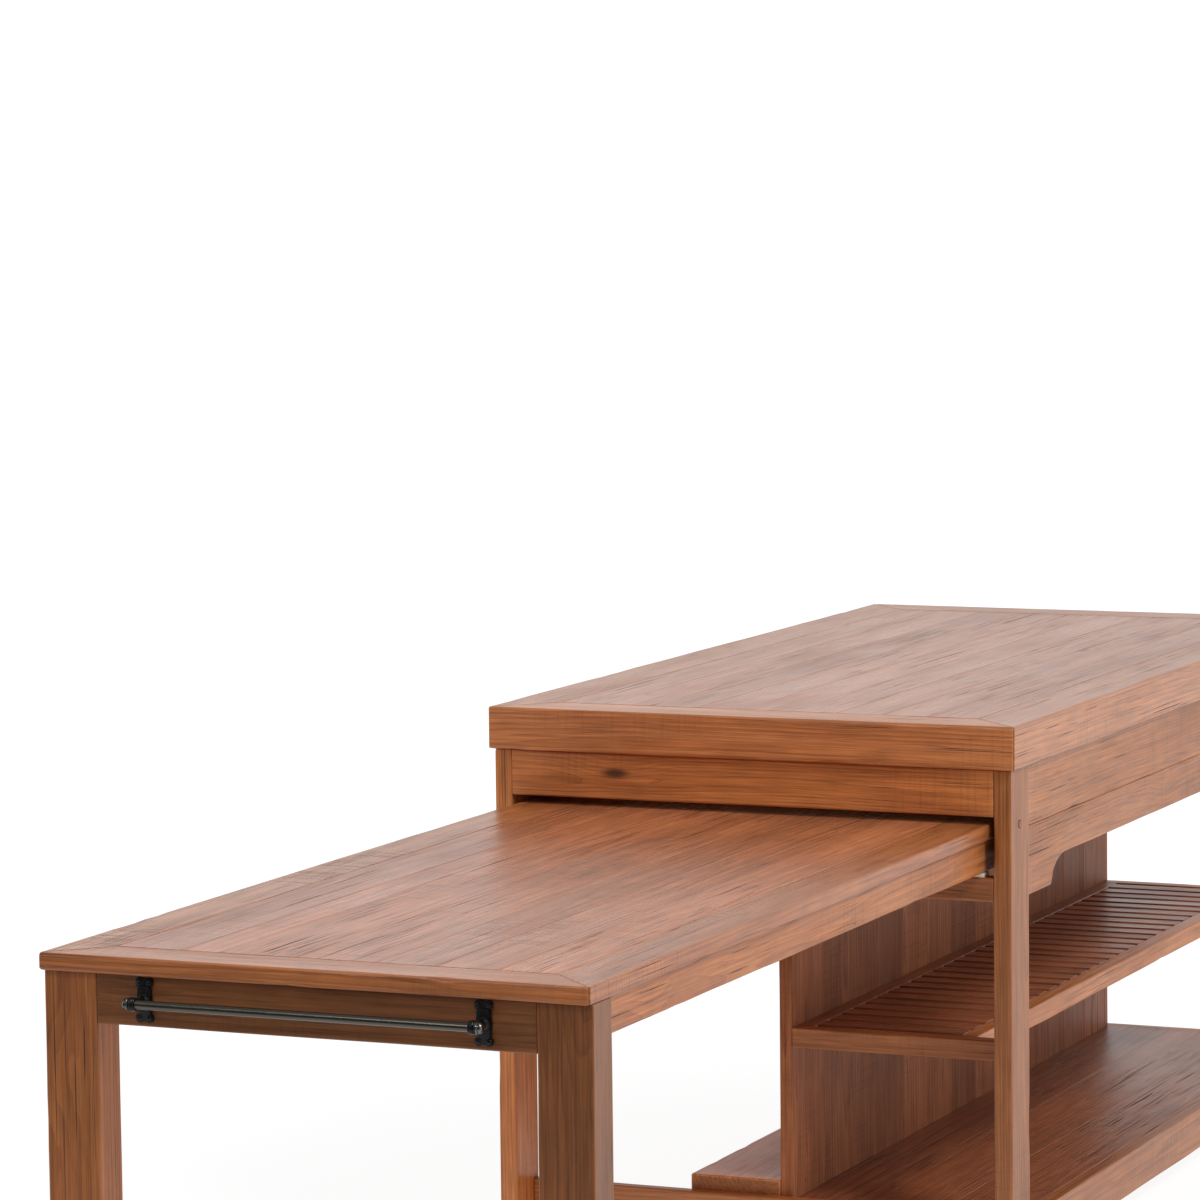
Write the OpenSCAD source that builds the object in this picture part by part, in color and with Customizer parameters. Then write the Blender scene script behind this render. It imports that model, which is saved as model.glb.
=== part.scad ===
// Kitchen island with a dining table that slides out of one end.
// X runs across the island, Y along it (the table pulls out towards -Y), Z up from the floor.
// The origin is on the floor, under the middle of the whole object with its table pulled out.

/* [Island] */
// Width of the island top
island_w = 914; // [860:1:1200]
// Length of the island top
island_l = 1829; // [1500:1:2300]
// Height of the island top above the floor
island_h = 914; // [870:1:1120]
// Thickness of the island top at its edge
top_t = 70; // [40:1:80]
// Width of the mitred border of the island top
border_w = 93; // [60:1:120]
// Thickness of the planks inside the border
plank_t = 30; // [18:1:38]
// Number of planks in the island top
top_plank_count = 9; // [4:1:12]
// Number of battens under the island planks
batten_count = 5; // [5:1:8]
// Width of a batten
batten_w = 60; // [40:1:80]
// How far the top stands out past the legs
overhang = 8; // [4:1:16]

/* [Island frame] */
// Thickness of a leg, across the island
leg_t = 30; // [24:1:36]
// Depth of a leg, along the island
leg_d = 89; // [60:1:110]
// Gap between the table top and the end rails above it
rail_gap = 13; // [4:1:40]
// Thickness of the end rails
rail_t = 24; // [18:1:30]
// Height of the upper board of a side apron
apron_up_h = 100; // [60:1:110]
// Height of the lower board of a side apron
apron_low_h = 68; // [50:1:90]
// Thickness of a side apron
apron_t = 22; // [16:1:24]
// How far a side apron stands back from the legs
apron_back = 2; // [1:0.5:4]
// How far a corbel hangs below its apron
corbel_drop = 44; // [20:1:60]
// Length of the flat bottom of a corbel
corbel_flat = 117; // [60:1:160]
// Height of the cross rails that carry the table
cross_h = 39; // [30:1:60]
// Thickness of the cross rails
cross_t = 30; // [20:1:40]
// Height of the front stretcher near the floor
stretcher_h = 78; // [60:1:110]
// Thickness of the end stretchers
stretcher_t = 22; // [16:1:30]
// How far the back stretcher stands in from the legs
stretcher_back = 4; // [2:1:10]
// Bottom edge of the stretchers above the floor
base_z = 32; // [20:1:60]
// How far the lower shelf's side rail stands back from the legs
base_rail_back = 6; // [1:1:12]
// Radius of a wooden plug
plug_r = 7.5; // [5:0.5:9]
// Depth of a plug hole
plug_depth = 6; // [4:1:10]

/* [Shelves and divider] */
// Top of the lower shelf above the floor
low_shelf_z = 104; // [98:1:150]
// Thickness of the lower shelf boards
low_shelf_t = 20; // [15:1:26]
// Number of boards in the lower shelf
low_board_count = 3; // [2:1:5]
// Distance from the middle of the island to the shelf side of the divider
divider_x = 39; // [20:1:60]
// Thickness of the divider
divider_t = 22; // [16:1:28]
// Gap between the divider and the sliding table's aprons above it
divider_gap = 22.5; // [8:0.5:150]
// Number of planks in the divider
divider_plank_count = 13; // [8:1:18]
// Width of the divider's end stiles and top rail
stile_w = 22; // [16:1:40]
// Width of the foot board on the seat side
foot_board_w = 159; // [100:1:220]
// Thickness of the foot board
foot_board_t = 31; // [15:1:45]
// Top of the foot board above the floor
foot_board_z = 135; // [130:1:180]
// Top of the slatted shelf above the floor
slat_shelf_z = 391; // [300:1:480]
// Thickness of the slatted shelf's frame
slat_frame_t = 33; // [24:1:40]
// How far the slatted shelf stands in from the legs
slat_shelf_in = 69; // [2:1:120]
// Width of the long rails of the slatted shelf
slat_rail_w = 39; // [25:1:50]
// Thickness of the end rails of the slatted shelf
slat_end_t = 30; // [20:1:36]
// Distance from one slat to the next, before the slats are spread evenly over the shelf
slat_pitch = 56; // [40:1:80]
// Gap between two slats
slat_gap = 15; // [8:1:25]
// Thickness of a slat
slat_t = 16; // [10:1:22]

/* [Sliding table] */
// Gap between the table top and the island legs beside it
table_gap = 9; // [4:1:30]
// How far the table top lies below the island top
table_drop = 159; // [150:1:200]
// Thickness of the table top
table_t = 25; // [18:1:30]
// Width of the mitred border of the table top
table_border_w = 80; // [50:1:110]
// Length of table that stays inside the island when it is pulled out
table_hold = 259; // [150:1:600]
// Width of a table leg, across the table
table_leg_w = 81; // [60:1:100]
// Depth of a table leg, along the table
table_leg_d = 62; // [45:1:80]
// How far the legs stand back from the end of the table top
table_end_back = 14; // [6:1:30]
// Height of the table's end apron
table_end_h = 71; // [66:1:100]
// Height of the table's side aprons
table_side_h = 52; // [40:1:60]
// Thickness of the table's aprons
table_apron_t = 20; // [16:1:24]
// How far the side aprons stand in from the edge of the table top
table_side_in = 8; // [4:1:14]
// Height of the stop cleat on the hidden end of the table
cleat_h = 30; // [20:1:40]
// Width of the stop cleat and of the stop bar
cleat_w = 38; // [25:1:50]

/* [Towel bar] */
// Diameter of the bar
bar_d = 12.7; // [8:0.1:16]
// Distance between the two brackets
bar_span = 506; // [300:1:600]
// Distance of the bar's centre in front of the apron
bar_standoff = 36; // [25:1:50]
// Width of a bracket plate
plate_w = 27; // [22:1:34]
// Height of a bracket plate
plate_h = 62; // [50:1:64]
// Gap between the table top and the bracket plates below it
plate_gap = 3; // [1:0.5:6]
// Thickness of a bracket plate
plate_t = 4; // [3:0.5:6]
// Outer radius of a bracket's eye
eye_r = 10; // [9:0.5:13]
// Length of a bracket's eye along the bar
eye_l = 11; // [8:1:16]
// Radius of an end cap
cap_r = 8.5; // [7:0.5:11]

/* [Fits] */
// Gap between the table and the runners and pads it slides on
run_gap = 0.5; // [0.4:0.1:2]
// Gap between the table top and the keepers above it
keeper_gap = 1.5; // [1:0.1:4]
// Gap between the table legs and the island legs when the table is in
park_gap = 6; // [3:0.5:15]
// Gap between the table and the back cross rail when the table is in
park_back_gap = 36; // [5:1:80]
// Gap at the stop with the table out
stop_gap = 0.4; // [0.3:0.1:2]
// Gap between two planks of a top, a shelf or the divider
plank_gap = 0.6; // [0.3:0.1:2]
// Clearance round plugs, screws and the bar in their holes
fit_gap = 0.1; // [0.05:0.05:0.2]
// Height of the glides under the legs
glide_h = 4; // [3:1:8]
// Radius of the glides under the legs
glide_r = 11; // [8:1:14]

/* [Hidden] */
$fn = 48;

tiny = 1;
top_wood = "#b5846a";
frame_wood = "#a8683f";
dark_wood = "#8a5232";
hidden_wood = "#c49a6c";
iron = "#1d1d1f";

// Table length: parked, it reaches from in front of the island's legs to the back cross rail.
table_reach = table_end_back + table_leg_d + park_gap;
table_l = island_l - 2 * overhang - cross_t - park_back_gap + table_reach;
table_out = table_l - table_hold;

// The whole object reaches from the towel bar's eyes to the back edge of the island top.
bar_reach = bar_standoff + eye_r - table_end_back;
front_most = -table_out - bar_reach;
front_y = -(front_most + island_l) / 2;
back_y = front_y + island_l;

// Island frame lines
leg_out_x = island_w / 2 - overhang;
leg_in_x = leg_out_x - leg_t;
leg_front_y = front_y + overhang;
leg_inner_front_y = leg_front_y + leg_d;
leg_back_y = back_y - overhang;
leg_inner_back_y = leg_back_y - leg_d;
under_top_z = island_h - top_t;
apron_out_x = leg_out_x - apron_back;
apron_in_x = apron_out_x - apron_t;
apron_seam_z = under_top_z - apron_up_h;
apron_bottom_z = apron_seam_z - apron_low_h;
corbel_rise_share = 0.52;
corbel_rise = corbel_rise_share * corbel_drop;
corbel_lean = 12;
corbel_run = 62;
plug_top_drop = 91;
plug_base_rise = 36;
plug_zs = [under_top_z - plug_top_drop, base_z + plug_base_rise];
plug_proud = 0.5;

// Table lines
table_plank_parts = [98, 58, 120, 118, 86, 93, 87];
table_w = 2 * (leg_in_x - table_gap);
table_h = island_h - table_drop;
table_front_y = front_y - table_out;
table_far_y = table_front_y + table_l;
table_under_z = table_h - table_t;
table_side_z = table_under_z - table_side_h;
table_side_out_x = table_w / 2 - table_side_in;
table_side_in_x = table_side_out_x - table_apron_t;
table_leg_in = 1;
table_leg_out_x = table_w / 2 - table_leg_in;
table_leg_in_x = table_leg_out_x - table_leg_w;
table_leg_front_y = table_front_y + table_end_back;
table_leg_back_y = table_leg_front_y + table_leg_d;

// Slide lines
run_z = table_side_z - run_gap;
runner_z = table_under_z - run_gap;
runner_h = 32;
runner_side_gap = 2;
runner_in_x = table_side_out_x + runner_side_gap;
keeper_z = table_h + keeper_gap;
keeper_h = 30;
keeper_back = 4;
keeper_in_x = table_side_in_x + keeper_back;
pad_h = 7;
pad_edge = 3;
cross_z = run_z - pad_h;
stop_y = table_far_y - cleat_w - stop_gap;
cleat_end_gap = 30;
cleat_x = keeper_in_x - cleat_end_gap;

// Base and shelf lines
divider_left_x = divider_x - divider_t;
divider_top_z = run_z - divider_gap;
divider_back_y = leg_back_y - cross_t;
foot_left_x = divider_left_x - foot_board_w;
foot_rail_back = 2;
foot_rail_x = foot_left_x + foot_rail_back;
foot_rail_t = 20;
under_shelf_z = low_shelf_z - low_shelf_t;
sleeper_h = (under_shelf_z - base_z) / 2;
sleeper_w = 40;
sleeper_in = 60;
bearer_w = 45;
bearer_count = 6;
stretcher_front_y = leg_inner_front_y - stretcher_t;
stretcher_back_y = leg_back_y - stretcher_back;
base_back_y = stretcher_back_y - stretcher_t;
sleeper_xs = [foot_rail_x + foot_rail_t, divider_left_x - (sleeper_w - divider_t) / 2,
    leg_in_x - sleeper_in];
slat_shelf_x = leg_in_x - slat_shelf_in;
slat_rail_short = 19;
slat_rail_end_x = leg_out_x - slat_rail_short;
slat_left_x = divider_x + slat_rail_w;
slat_right_x = slat_shelf_x - slat_rail_w;
slat_front_y = leg_inner_front_y + slat_end_t;
slat_back_y = divider_back_y - slat_end_t;
slat_frame_z = slat_shelf_z - slat_frame_t;
slat_seat = 10;
slat_room = slat_back_y - slat_front_y - slat_gap;
slat_count = round(slat_room / slat_pitch);
slat_step = slat_room / slat_count;

// Towel bar lines
bar_y = table_leg_front_y - bar_standoff;
bar_z = table_under_z - plate_gap - plate_h / 2;
bar_r = bar_d / 2;
cap_seat = 4;
bar_l = bar_span + eye_l + 2 * cap_seat;
post_step = 0.5;
post_r = eye_l / 2 - post_step;
cap_l = 10;
cap_nose_r = 3;
screw_r = 2;
screw_head_r = 3.6;
screw_head_top_r = 2.5;
screw_head_h = 2;
screw_l = 14;
screw_edge_x = 6;
screw_edge_z = 7;
screw_in_x = plate_w / 2 - screw_edge_x;
screw_in_z = plate_h / 2 - screw_edge_z;

// A straight board between two corners.
module board(low, high) {
    translate(low) cube(high - low);
}

// A border board across the end of a top, mitred at both ends. dir is 1 or -1.
module mitred_end(w, b, t, y, z, dir) {
    outer = w / 2;
    inner = w / 2 - b;
    translate([0, y, z])
    linear_extrude(t)
    polygon([[-outer, 0], [outer, 0], [inner, dir * b], [-inner, dir * b]]);
}

// A border board along the side of a top, mitred at both ends. side is 1 or -1.
module mitred_side(w, b, t, y0, y1, z, side) {
    outer = side * w / 2;
    inner = side * (w / 2 - b);
    translate([0, 0, z])
    linear_extrude(t)
    polygon([[outer, y0], [inner, y0 + b], [inner, y1 - b], [outer, y1]]);
}

// Both edges of each of a row of planks between two lines, to a tenth of a millimetre.
function tenth(v) = round(10 * v) / 10;
function equal_parts(count) = [for (i = [1 : count]) 1];
function sum_before(parts, i) = i == 0 ? 0 : parts[i - 1] + sum_before(parts, i - 1);
function plank_edges(parts, low, high) = [
    for (i = [0 : len(parts) - 1])
        let(
            unit = (high - low) / sum_before(parts, len(parts)),
            from = low + unit * sum_before(parts, i),
            to = low + unit * sum_before(parts, i + 1)
        )
        [i == 0 ? low : tenth(from + plank_gap / 2),
            i == len(parts) - 1 ? high : tenth(to - plank_gap / 2)]
];

// Planks side by side across X, with widths in the proportions that parts gives.
module planks_across(parts, x0, x1, y0, y1, z0, z1) {
    for (edge = plank_edges(parts, x0, x1))
        board([edge[0], y0, z0], [edge[1], y1, z1]);
}

// Island top
module top_border_front() {
    color(top_wood) mitred_end(island_w, border_w, top_t, front_y, under_top_z, 1);
}
module top_border_back() {
    color(top_wood) mitred_end(island_w, border_w, top_t, back_y, under_top_z, -1);
}
module top_border_left() {
    color(top_wood) mitred_side(island_w, border_w, top_t, front_y, back_y, under_top_z, -1);
}
module top_border_right() {
    color(top_wood) mitred_side(island_w, border_w, top_t, front_y, back_y, under_top_z, 1);
}
module top_planks() {
    inner = island_w / 2 - border_w;
    color(top_wood)
    planks_across(equal_parts(top_plank_count), -inner, inner, front_y + border_w, back_y - border_w,
        island_h - plank_t, island_h);
}
module top_battens() {
    inner = island_w / 2 - border_w;
    room = island_l - 2 * border_w - batten_count * batten_w;
    gap = room / (batten_count + 1);
    color(hidden_wood)
    for (i = [0 : batten_count - 1]) {
        y = front_y + border_w + gap + i * (gap + batten_w);
        board([-inner, y, under_top_z], [inner, y + batten_w, island_h - plank_t]);
    }
}

// Legs: side is 1 for the shelf side and -1 for the seat side
module plug_spots(side, y0) {
    for (z = plug_zs)
        translate([side * leg_out_x, y0 + leg_d / 2, z])
        rotate([0, -side * 90, 0])
        children();
}
module leg(side, y0) {
    x0 = side > 0 ? leg_in_x : -leg_out_x;
    color(frame_wood)
    difference() {
        board([x0, y0, glide_h], [x0 + leg_t, y0 + leg_d, under_top_z]);
        plug_spots(side, y0)
            translate([0, 0, -tiny]) cylinder(r = plug_r + fit_gap, h = plug_depth + tiny);
    }
}
module leg_front_left() { leg(-1, leg_front_y); }
module leg_front_right() { leg(1, leg_front_y); }
module leg_back_left() { leg(-1, leg_inner_back_y); }
module leg_back_right() { leg(1, leg_inner_back_y); }
module leg_plugs() {
    color(dark_wood)
    for (side = [-1, 1], y0 = [leg_front_y, leg_inner_back_y])
        plug_spots(side, y0)
            translate([0, 0, -plug_proud]) cylinder(r = plug_r, h = plug_depth + plug_proud);
}
module leg_glides() {
    color("#3a3a3a")
    for (side = [-1, 1], y = [leg_front_y + leg_d / 2, leg_back_y - leg_d / 2])
        translate([side * (leg_out_x - leg_t / 2), y, 0]) cylinder(r = glide_r, h = glide_h);
}

// Rails between the legs
module end_rail(y0) {
    color(frame_wood)
    board([-leg_in_x, y0, table_h + rail_gap], [leg_in_x, y0 + rail_t, under_top_z]);
}
module end_rail_front() { end_rail(leg_front_y); }
module end_rail_back() { end_rail(leg_back_y - rail_t); }
module cross_rail(y0) {
    color(frame_wood)
    board([-leg_in_x, y0, cross_z - cross_h], [leg_in_x, y0 + cross_t, cross_z]);
}
module cross_rail_front() { cross_rail(leg_front_y); }
module cross_rail_back() { cross_rail(leg_back_y - cross_t); }
module stretcher(y0, top_z) {
    color(frame_wood)
    board([-leg_in_x, y0, base_z], [leg_in_x, y0 + stretcher_t, top_z]);
}
module stretcher_front() { stretcher(stretcher_front_y, base_z + stretcher_h); }
module stretcher_back() { stretcher(base_back_y, low_shelf_z); }

// Side aprons, each two boards edge to edge; the lower one has a corbel at each leg
module upper_apron(side) {
    x0 = side > 0 ? apron_in_x : -apron_out_x;
    color(frame_wood)
    board([x0, leg_inner_front_y, apron_seam_z], [x0 + apron_t, leg_inner_back_y, under_top_z]);
}
// Half of the corbel outline from a leg outwards, drawn with the leg at 0.
function corbel_points(b) = let(
        foot = corbel_flat,
        drop = corbel_drop - corbel_rise,
        r = (pow(corbel_run, 2) + pow(drop, 2)) / (2 * drop),
        sweep = asin(corbel_run / r),
        end = foot + corbel_lean + corbel_run)
    concat([[0, b - corbel_drop], [foot, b - corbel_drop]],
        [for (i = [0 : 8]) let(a = sweep * (1 - i / 8))
            [end - r * sin(a), b - r + r * cos(a)]]);
module lower_apron(side) {
    x0 = side > 0 ? apron_in_x : -apron_out_x;
    span = leg_inner_back_y - leg_inner_front_y;
    near = corbel_points(apron_bottom_z);
    far = [for (i = [len(near) - 1 : -1 : 0]) [span - near[i][0], near[i][1]]];
    color(dark_wood)
    translate([x0, leg_inner_front_y, 0])
    rotate([90, 0, 90])
    linear_extrude(apron_t)
    polygon(concat([[0, apron_seam_z]], near, far, [[span, apron_seam_z]]));
}
module side_apron_left_upper() { upper_apron(-1); }
module side_apron_left_lower() { lower_apron(-1); }
module side_apron_right_upper() { upper_apron(1); }
module side_apron_right_lower() { lower_apron(1); }

// Runners under the table top's edges, keepers over them, and the stop
module runner(side) {
    low_x = side > 0 ? runner_in_x : -apron_in_x;
    high_x = side > 0 ? apron_in_x : -runner_in_x;
    color(hidden_wood)
    board([low_x, leg_inner_front_y, runner_z - runner_h],
        [high_x, leg_inner_back_y, runner_z]);
}
module runner_left() { runner(-1); }
module runner_right() { runner(1); }
module keeper(side) {
    low_x = side > 0 ? keeper_in_x : -apron_in_x;
    high_x = side > 0 ? apron_in_x : -keeper_in_x;
    color(hidden_wood)
    board([low_x, leg_inner_front_y, keeper_z], [high_x, leg_inner_back_y, keeper_z + keeper_h]);
}
module keeper_left() { keeper(-1); }
module keeper_right() { keeper(1); }
module stop_bar() {
    color(hidden_wood)
    board([-keeper_in_x, stop_y - cleat_w, keeper_z], [keeper_in_x, stop_y, keeper_z + keeper_h]);
}
module slide_pads() {
    color("#d8d4c8")
    for (side = [-1, 1])
        translate([side * (table_side_out_x + table_side_in_x) / 2, leg_front_y + cross_t / 2,
            (cross_z + run_z) / 2])
            cube([table_apron_t, cross_t - 2 * pad_edge, pad_h], center = true);
}

// Divider of upright planks down the length of the island
module divider_planks() {
    y0 = leg_inner_front_y + stile_w;
    y1 = divider_back_y - stile_w;
    color(dark_wood)
    for (edge = plank_edges(equal_parts(divider_plank_count), y0, y1))
        board([divider_left_x, edge[0], under_shelf_z],
            [divider_x, edge[1], divider_top_z - stile_w]);
}
module divider_stile(y0) {
    color(frame_wood)
    board([divider_left_x, y0, under_shelf_z], [divider_x, y0 + stile_w, divider_top_z - stile_w]);
}
module divider_stile_front() { divider_stile(leg_inner_front_y); }
module divider_stile_back() { divider_stile(divider_back_y - stile_w); }
module divider_top_rail() {
    color(frame_wood)
    board([divider_left_x, leg_inner_front_y, divider_top_z - stile_w],
        [divider_x, divider_back_y, divider_top_z]);
}

// Slatted shelf
module slat_shelf_rail_front() {
    color(frame_wood)
    board([divider_x, leg_inner_front_y, slat_frame_z],
        [slat_rail_end_x, slat_front_y, slat_shelf_z]);
}
module slat_shelf_rail_back() {
    color(frame_wood)
    board([divider_x, slat_back_y, slat_frame_z], [leg_in_x, divider_back_y, slat_shelf_z]);
}
module slat_shelf_rail_inner() {
    color(frame_wood)
    difference() {
        board([divider_x, slat_front_y, slat_frame_z], [slat_left_x, slat_back_y, slat_shelf_z]);
        slat_seats();
    }
}
module slat_shelf_rail_outer() {
    color(frame_wood)
    difference() {
        board([slat_right_x, slat_front_y, slat_frame_z], [slat_shelf_x, slat_back_y, slat_shelf_z]);
        slat_seats();
    }
}
// The slats' ends lie in a rebate along the inside of both long rails.
module slat_seats() {
    translate([slat_left_x - slat_seat, slat_front_y - tiny, slat_shelf_z - slat_t])
        cube([slat_right_x - slat_left_x + 2 * slat_seat,
            slat_back_y - slat_front_y + 2 * tiny, slat_t + tiny]);
}
module slat_shelf_slats() {
    color(dark_wood)
    for (i = [0 : slat_count - 1]) {
        y0 = tenth(slat_front_y + slat_gap + i * slat_step);
        y1 = tenth(slat_front_y + (i + 1) * slat_step);
        board([slat_left_x - slat_seat, y0, slat_shelf_z - slat_t],
            [slat_right_x + slat_seat, y1, slat_shelf_z]);
    }
}

// Base and lower shelf
module low_shelf_boards() {
    color(dark_wood)
    planks_across(equal_parts(low_board_count), divider_x, leg_in_x, leg_inner_front_y, base_back_y,
        under_shelf_z, low_shelf_z);
}
module base_rail_right() {
    color(frame_wood)
    board([leg_in_x, leg_inner_front_y, base_z],
        [leg_out_x - base_rail_back, leg_inner_back_y, low_shelf_z]);
}
module base_sleepers() {
    color(hidden_wood)
    for (x = sleeper_xs)
        board([x, stretcher_front_y + stretcher_t, base_z],
            [x + sleeper_w, base_back_y, base_z + sleeper_h]);
}
module base_bearers() {
    room = base_back_y - leg_inner_front_y - bearer_w;
    color(hidden_wood)
    for (i = [0 : bearer_count - 1]) {
        y = leg_inner_front_y + i * room / (bearer_count - 1);
        board([foot_rail_x + foot_rail_t, y, base_z + sleeper_h], [leg_in_x, y + bearer_w,
            under_shelf_z]);
    }
}
module foot_board() {
    color(dark_wood)
    board([foot_left_x, leg_inner_front_y, foot_board_z - foot_board_t],
        [divider_left_x, base_back_y, foot_board_z]);
}
module foot_rail() {
    color(frame_wood)
    board([foot_rail_x, leg_inner_front_y, base_z],
        [foot_rail_x + foot_rail_t, base_back_y, foot_board_z - foot_board_t]);
}
module foot_cleat() {
    color(hidden_wood)
    board([divider_left_x - foot_rail_t, leg_inner_front_y, under_shelf_z],
        [divider_left_x, base_back_y, foot_board_z - foot_board_t]);
}

// Table top
module table_border_end() {
    color(top_wood) mitred_end(table_w, table_border_w, table_t, table_front_y, table_under_z, 1);
}
module table_border_inner() {
    color(top_wood) mitred_end(table_w, table_border_w, table_t, table_far_y, table_under_z, -1);
}
module table_border_left() {
    color(top_wood)
    mitred_side(table_w, table_border_w, table_t, table_front_y, table_far_y, table_under_z, -1);
}
module table_border_right() {
    color(top_wood)
    mitred_side(table_w, table_border_w, table_t, table_front_y, table_far_y, table_under_z, 1);
}
module table_planks() {
    inner = table_w / 2 - table_border_w;
    color(top_wood)
    planks_across(table_plank_parts, -inner, inner, table_front_y + table_border_w,
        table_far_y - table_border_w, table_under_z, table_h);
}

// Table legs and aprons
module table_leg(side) {
    x0 = side > 0 ? table_leg_in_x : -table_leg_out_x;
    color(frame_wood)
    board([x0, table_leg_front_y, glide_h], [x0 + table_leg_w, table_leg_back_y, table_under_z]);
}
module table_leg_left() { table_leg(-1); }
module table_leg_right() { table_leg(1); }
module table_apron_end() {
    color(dark_wood)
    difference() {
        board([-table_leg_in_x, table_leg_front_y, table_under_z - table_end_h],
            [table_leg_in_x, table_leg_front_y + table_apron_t, table_under_z]);
        screw_spots() cylinder(r = screw_r + fit_gap, h = screw_l - plate_t + fit_gap);
    }
}
module table_apron_sides() {
    color(frame_wood)
    for (x0 = [-table_side_out_x, table_side_in_x])
        board([x0, table_leg_back_y, table_side_z], [x0 + table_apron_t, table_far_y, table_under_z]);
}
module table_apron_inner() {
    color(frame_wood)
    board([-table_side_in_x, table_far_y - table_apron_t, table_side_z],
        [table_side_in_x, table_far_y, table_under_z]);
}
module table_stop_cleat() {
    color(hidden_wood)
    board([-cleat_x, table_far_y - cleat_w, table_h], [cleat_x, table_far_y, table_h + cleat_h]);
}
module table_glides() {
    color("#3a3a3a")
    for (side = [-1, 1])
        translate([side * (table_leg_out_x - table_leg_w / 2),
            (table_leg_front_y + table_leg_back_y) / 2, 0])
            cylinder(r = glide_r, h = glide_h);
}

// Towel bar. Screw spots lie on the apron's face, pointing into it.
module screw_spots() {
    for (side = [-1, 1], sx = [-1, 1], sz = [-1, 1])
        translate([side * bar_span / 2 + sx * screw_in_x, table_leg_front_y,
            bar_z + sz * screw_in_z])
        rotate([-90, 0, 0])
        children();
}
module along_bar(x, r, l) {
    translate([x - l / 2, bar_y, bar_z]) rotate([0, 90, 0]) cylinder(r = r, h = l);
}
module towel_bar() {
    color("#4a4742") along_bar(0, bar_r, bar_l);
}
module towel_bar_brackets() {
    color(iron)
    for (side = [-1, 1])
        difference() {
            union() {
                translate([side * bar_span / 2 - plate_w / 2, table_leg_front_y - plate_t,
                    bar_z - plate_h / 2])
                    cube([plate_w, plate_t, plate_h]);
                translate([side * bar_span / 2, bar_y, bar_z])
                    rotate([-90, 0, 0]) cylinder(r = post_r, h = bar_standoff - plate_t / 2);
                along_bar(side * bar_span / 2, eye_r, eye_l);
            }
            along_bar(side * bar_span / 2, bar_r + fit_gap, eye_l + 2 * tiny);
            screw_spots()
                translate([0, 0, -plate_t - tiny])
                cylinder(r = screw_r + fit_gap, h = plate_t + 2 * tiny);
        }
}
// Round caps over the bar's ends, bored to take them. The profile is the cap's radius along the bar.
module towel_bar_caps() {
    bore = bar_r + fit_gap;
    seat = cap_seat + fit_gap;
    round_r = cap_r - cap_nose_r;
    color(iron)
    for (side = [-1, 1])
        translate([side * (bar_span + eye_l) / 2, bar_y, bar_z])
        rotate([0, side * 90, 0])
        rotate_extrude()
        polygon(concat([[0, seat], [bore, seat], [bore, 0], [cap_r, 0]],
            [for (a = [0 : 15 : 90])
                [cap_nose_r + round_r * cos(a), cap_l - round_r * (1 - sin(a))]],
            [[0, cap_l]]));
}
module towel_bar_screws() {
    color("#26262a")
    screw_spots()
    translate([0, 0, -plate_t]) {
        cylinder(r = screw_r, h = screw_l);
        translate([0, 0, -screw_head_h])
            cylinder(r1 = screw_head_top_r, r2 = screw_head_r, h = screw_head_h);
    }
}

top_border_front();
top_border_back();
top_border_left();
top_border_right();
top_planks();
top_battens();
leg_front_left();
leg_front_right();
leg_back_left();
leg_back_right();
end_rail_front();
end_rail_back();
side_apron_left_upper();
side_apron_left_lower();
side_apron_right_upper();
side_apron_right_lower();
cross_rail_front();
cross_rail_back();
runner_left();
runner_right();
keeper_left();
keeper_right();
stop_bar();
slide_pads();
divider_planks();
divider_stile_front();
divider_stile_back();
divider_top_rail();
slat_shelf_rail_front();
slat_shelf_rail_back();
slat_shelf_rail_inner();
slat_shelf_rail_outer();
slat_shelf_slats();
low_shelf_boards();
base_rail_right();
stretcher_front();
stretcher_back();
base_sleepers();
base_bearers();
foot_board();
foot_rail();
foot_cleat();
leg_plugs();
leg_glides();
table_border_end();
table_border_inner();
table_border_left();
table_border_right();
table_planks();
table_leg_left();
table_leg_right();
table_apron_end();
table_apron_sides();
table_apron_inner();
table_stop_cleat();
table_glides();
towel_bar();
towel_bar_brackets();
towel_bar_caps();
towel_bar_screws();
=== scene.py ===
import math

import bmesh
import bpy
import numpy as np
from mathutils import Matrix, Vector


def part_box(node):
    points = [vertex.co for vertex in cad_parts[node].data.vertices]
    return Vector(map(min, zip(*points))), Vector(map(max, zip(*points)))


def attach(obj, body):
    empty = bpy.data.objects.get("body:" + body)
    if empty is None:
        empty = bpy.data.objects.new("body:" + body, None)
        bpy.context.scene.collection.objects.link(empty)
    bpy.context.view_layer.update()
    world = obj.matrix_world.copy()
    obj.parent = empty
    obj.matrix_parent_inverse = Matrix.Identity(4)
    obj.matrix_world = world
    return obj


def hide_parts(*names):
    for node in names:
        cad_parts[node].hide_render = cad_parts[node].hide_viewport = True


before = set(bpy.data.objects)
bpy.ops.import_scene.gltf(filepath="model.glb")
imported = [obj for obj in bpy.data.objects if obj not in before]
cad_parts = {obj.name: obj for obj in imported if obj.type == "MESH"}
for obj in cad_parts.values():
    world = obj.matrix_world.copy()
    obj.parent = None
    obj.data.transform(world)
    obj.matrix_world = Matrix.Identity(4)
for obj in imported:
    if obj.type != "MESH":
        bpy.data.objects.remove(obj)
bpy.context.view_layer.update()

print("frame loaded:", len(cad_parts), "parts")


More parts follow.
